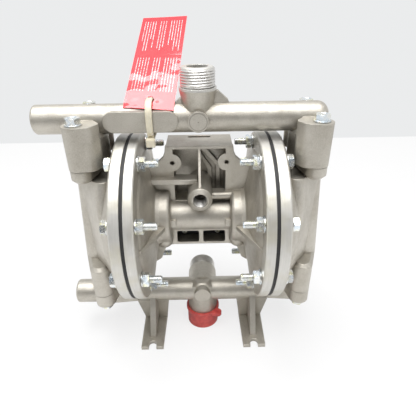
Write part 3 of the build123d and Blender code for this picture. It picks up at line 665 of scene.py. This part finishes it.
skin = bmesh.new()
across, along = 18, 44
sheet_spot = skin.verts.layers.float_vector.new("sheet_spot")
grid = []
for j in range(along + 1):
    v = j / along
    line = []
    for i in range(across + 1):
        u = i / across
        x, y = (u - 0.5) * tag_wide, v * (tag_long + 2.2 * mm * u)
        z = tag_thick * 0.5 + 0.9 * mm * (1 - cos(pi * v)) * u + 0.3 * mm * sin(5.0 * v + 1.0) * sin(pi * u)
        vert = skin.verts.new((x, y, z))
        vert[sheet_spot] = (u, v, 0.0)
        line.append(vert)
    grid.append(line)
for j in range(along):
    for i in range(across):
        middle = (grid[j][i].co + grid[j + 1][i + 1].co) / 2
        if (middle.x - eyelet_x) ** 2 + (middle.y - eyelet_y) ** 2 > eyelet_radius ** 2:
            skin.faces.new((grid[j][i], grid[j][i + 1], grid[j + 1][i + 1], grid[j + 1][i]))
for vert in skin.verts:
    reach = Vector((vert.co.x - eyelet_x, vert.co.y - eyelet_y))
    if vert.link_faces and len(vert.link_faces) < 4 and reach.length < 5 * mm and vert.co.y > 2 * mm:
        reach.normalize()
        vert.co.x, vert.co.y = eyelet_x + reach.x * eyelet_radius, eyelet_y + reach.y * eyelet_radius
for vert in [v for v in skin.verts if not v.link_faces]:
    skin.verts.remove(vert)
skin.transform(tag_place)

tag_card, shader = new_finish("red_laminated_card", (0.70, 0.02, 0.04), 0.0, 0.32)
spot = put(tag_card, "Attribute", {"attribute_name": "sheet_spot"}).outputs["Vector"]
spot = put(tag_card, "SeparateXYZ", Vector=spot)
line_number = sum_up(tag_card, "MULTIPLY", spot.outputs["X"], rules)
in_line = sum_up(tag_card, "FRACT", line_number)
own = put(tag_card, "TexWhiteNoise", {"noise_dimensions": "1D"},
          W=sum_up(tag_card, "FLOOR", line_number)).outputs["Value"]
ruled = in_band(tag_card, in_line, 0.36, 0.58, 0.06)
upper_block, lower_block = [in_band(tag_card, spot.outputs["Y"], *ends, 0.004)
                            for ends in print_blocks]
reach_up = sum_up(tag_card, "ADD", spot.outputs["Y"], sum_up(tag_card, "MULTIPLY", own, 0.2))
short = sum_up(tag_card, "GREATER_THAN", reach_up, 0.74)
upper_block = sum_up(tag_card, "MULTIPLY", upper_block, short)
ink = sum_up(tag_card, "MULTIPLY", ruled, sum_up(tag_card, "MAXIMUM", upper_block, lower_block))
columns = 0.0
for ends in print_columns:
    columns = sum_up(tag_card, "ADD", columns, in_band(tag_card, spot.outputs["X"], *ends, 0.004))
ink = sum_up(tag_card, "MULTIPLY", ink, columns)
worn = stretch_range(tag_card, speckle(tag_card, 0.7 * mm, 1.0), 0.40, 0.52, 0.15, 0.95)
ink = sum_up(tag_card, "MULTIPLY", ink, worn)
ground = tint(tag_card, speckle(tag_card, 9 * mm, 2.0), (0.72, 0.016, 0.028), (0.82, 0.030, 0.042))
fill(tag_card, shader.inputs["Base Color"], tint(tag_card, ink, ground, (0.92, 0.86, 0.86)))
shader.inputs["Specular IOR Level"].default_value = 0.2
shader.inputs["Coat Weight"].default_value = 0.7
shader.inputs["Coat Roughness"].default_value = 0.05
from_tie = stretch_range(tag_card, spot.outputs["Y"], 0.1, 0.55, 1.0, 0.12)
film = sum_up(tag_card, "MULTIPLY", speckle(tag_card, 11 * mm, 1.0), from_tie)
fill(tag_card, shader.inputs["Normal"], relief(tag_card, film, 0.7 * mm))
fill(tag_card, shader.inputs["Coat Normal"], relief(tag_card, film, 1.4 * mm))

tag = link_up("hang_tag", skin, tag_card)
thickness = tag.modifiers.new("card", "SOLIDIFY")
thickness.thickness, thickness.offset = card_thick, 0.0
tag.modifiers.new("crisp_edges", "EDGE_SPLIT").split_angle = radians(40)
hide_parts("caution_tag")
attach(tag, "pump")


# ---- cable tie ---------------------------------------------------------------------------
# Natural nylon tie round the upper pipe and through the tag's eyelet: a ribbed strap that ends in
# a square locking head under the pipe.
tie_x, strap_wide, strap_thick = -29.4 * mm, 4.0 * mm, 1.2 * mm
loop_y, loop_z, loop_half, loop_round = 0.0, rod_height + 70.2 * mm, 12.25 * mm, 8.6 * mm
head_half_wide, head_front, head_back = 2.7 * mm, -13.8 * mm, -9.2 * mm
head_foot, head_top = rod_height + 55.0 * mm, rod_height + 60.6 * mm

nylon, shader = new_finish("natural_nylon", (0.66, 0.60, 0.46), 0.0, 0.36)
milky = speckle(nylon, 2.5 * mm, 2.0)
fill(nylon, shader.inputs["Base Color"], tint(nylon, milky, (0.64, 0.58, 0.44), (0.80, 0.75, 0.61)))
shader.inputs["Subsurface Weight"].default_value = 0.3
shader.inputs["Subsurface Radius"].default_value = (1.0, 0.9, 0.7)
shader.inputs["Subsurface Scale"].default_value = 1.2 * mm
fill(nylon, shader.inputs["Roughness"], stretch_range(nylon, milky, 0.2, 0.8, 0.28, 0.44))
fill(nylon, shader.inputs["Normal"], relief(nylon, milky, 0.05 * mm, soft_edges(nylon, 0.2 * mm)))

corner_steps = 12
path = []
for quarter in range(4):
    cy = (loop_half - loop_round) * (1 if quarter in (0, 3) else -1)
    cz = (loop_half - loop_round) * (1 if quarter in (0, 1) else -1)
    for k in range(corner_steps + 1):
        a = pi / 2 * (quarter + k / corner_steps)
        path.append((cy, cz, a))
skin = bmesh.new()
rings = []
for n, (cy, cz, a) in enumerate(path):
    out = Vector((0, cos(a), sin(a)))
    centre = Vector((tie_x, loop_y + cy, loop_z + cz))
    ridge = 0.12 * mm if n % 2 else 0.0
    half = strap_wide / 2
    section = [(-half, 0.35), (-half + 0.4 * mm, 0.0), (half - 0.4 * mm, 0.0), (half, 0.35),
               (half, 0.65), (half - 0.5 * mm, 1.0), (half - 1.1 * mm, 0.9),
               (-half + 1.1 * mm, 0.9), (-half + 0.5 * mm, 1.0), (-half, 0.65)]
    ring = []
    for x, t in section:
        lift = loop_round - strap_thick + t * strap_thick - (ridge if 0.8 < t < 0.95 else 0)
        ring.append(skin.verts.new(centre + Vector((x, 0, 0)) + out * lift))
    rings.append(ring)
for ring, after in zip(rings, rings[1:] + rings[:1]):
    for k in range(len(ring)):
        m = (k + 1) % len(ring)
        skin.faces.new((ring[k], after[k], after[m], ring[m]))
near_corner = Vector((tie_x - head_half_wide, head_front, head_foot))
far_corner = Vector((tie_x + head_half_wide, head_back, head_top))
made = bmesh.ops.create_cube(skin, size=1.0)
size, middle = far_corner - near_corner, (far_corner + near_corner) / 2
bmesh.ops.scale(skin, vec=size, verts=made["verts"])
bmesh.ops.translate(skin, vec=middle, verts=made["verts"])
faces = list({f for v in made["verts"] for f in v.link_faces})
low_face = [f for f in faces if f.normal.z < -0.9]
bmesh.ops.inset_region(skin, faces=low_face, thickness=1.0 * mm, depth=-1.2 * mm)
head_edges = [e for e in skin.edges
              if all(v.co.z < rod_height + 60.7 * mm for v in e.verts)
              and e.calc_face_angle(0) > 1.2 and e.calc_length() > 2.5 * mm]
bmesh.ops.bevel(skin, geom=head_edges, offset=0.45 * mm, segments=2, affect="EDGES")
tie = link_up("nylon_tie", skin, nylon)
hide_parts("cable_tie")
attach(tie, "pump")


# ---- air valve at the back ---------------------------------------------------------------
# Anodised aluminium block with round end covers, four cap screws and a sintered bronze silencer.
anodised, shader = new_finish("clear_anodised_aluminium", (0.52, 0.53, 0.54), 1.0, 0.36)
mill = speckle(anodised, 0.5 * mm, 2.0, (0.08, 1.0, 1.0))
fill(anodised, shader.inputs["Base Color"], tint(anodised, mill, (0.44, 0.45, 0.46), (0.60, 0.61, 0.62)))
fill(anodised, shader.inputs["Roughness"], stretch_range(anodised, mill, 0.2, 0.8, 0.28, 0.44))
fill(anodised, shader.inputs["Normal"], relief(anodised, mill, 0.03 * mm, soft_edges(anodised, 0.4 * mm)))
give(anodised, "air_valve_body", "left_valve_cover", "right_valve_cover")

silencer, shader = new_finish("sintered_bronze", (0.42, 0.27, 0.13), 0.9, 0.5)
# painted shade: the colour darkens towards each bead's edge, where the pores between the beads lie in shade
beads = put(silencer, "TexVoronoi", Vector=on_part(silencer), Scale=1 / (0.7 * mm)).outputs["Distance"]
fill(silencer, shader.inputs["Base Color"], tint(silencer, beads, (0.52, 0.35, 0.18), (0.16, 0.09, 0.04)))
bead_tops = sum_up(silencer, "SUBTRACT", 1.0, beads)
fill(silencer, shader.inputs["Normal"], relief(silencer, bead_tops, 0.25 * mm))
give(silencer, "exhaust_muffler")

screw_spots = [(side * 15.5 * mm, rod_height + up * mm) for side in (-1, 1) for up in (-9.5, 23.5)]
skin = bmesh.new()
screw_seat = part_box("air_valve_body")[1].y
for x, z in screw_spots:
    facing = Matrix.Translation((x, screw_seat, z)) @ Matrix.Rotation(-pi / 2, 4, "X")
    socket = hexagon(2.5 * mm)
    turn(skin, facing, [(3.0 * mm, 0.0), (3.0 * mm, 2.2 * mm), (2.6 * mm, 2.6 * mm), (1.6 * mm, 2.6 * mm),
                        (socket, 2.5 * mm), (socket, 1.2 * mm)])
valve_bolts = link_up("valve_cap_screws", skin, zinc)
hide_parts("valve_screws")
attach(valve_bolts, "pump")


# ---- inside pieces -----------------------------------------------------------------------
# Turned rod, diaphragm plates, spool and pilot pin, bronze bushes, and white check balls and seats.
turned_steel, shader = new_finish("turned_stainless", (0.58, 0.57, 0.55), 1.0, 0.28)
cut = speckle(turned_steel, 0.4 * mm, 2.0, (1.0, 0.1, 0.1))
fill(turned_steel, shader.inputs["Base Color"],
     tint(turned_steel, cut, (0.50, 0.49, 0.47), (0.66, 0.65, 0.63)))
fill(turned_steel, shader.inputs["Roughness"],
     stretch_range(turned_steel, cut, 0.2, 0.8, 0.2, 0.36))
fill(turned_steel, shader.inputs["Normal"], relief(turned_steel, cut, 0.02 * mm))
give(turned_steel, "diaphragm_rod", "pilot_pin", "valve_spool", "left_outer_plate", "right_outer_plate",
     "left_inner_plate", "right_inner_plate", "left_rod_nut", "right_rod_nut")

bronze, shader = new_finish("bearing_bronze", (0.48, 0.32, 0.15), 1.0, 0.34)
stain = speckle(bronze, 1.5 * mm, 2.0)
fill(bronze, shader.inputs["Base Color"], tint(bronze, stain, (0.40, 0.26, 0.12), (0.56, 0.39, 0.19)))
fill(bronze, shader.inputs["Normal"], relief(bronze, stain, 0.03 * mm))
give(bronze, "left_rod_bush", "right_rod_bush", "pilot_sleeve")

white_plastic, shader = new_finish("white_fluoroplastic", (0.82, 0.82, 0.80), 0.0, 0.34)
wax = speckle(white_plastic, 2 * mm, 2.0)
fill(white_plastic, shader.inputs["Base Color"],
     tint(white_plastic, wax, (0.74, 0.74, 0.72), (0.86, 0.86, 0.84)))
fill(white_plastic, shader.inputs["Normal"], relief(white_plastic, wax, 0.03 * mm))
give(white_plastic, "left_discharge_ball", "right_discharge_ball", "left_suction_ball",
     "right_suction_ball", "left_discharge_seat", "right_discharge_seat", "left_suction_seat",
     "right_suction_seat")
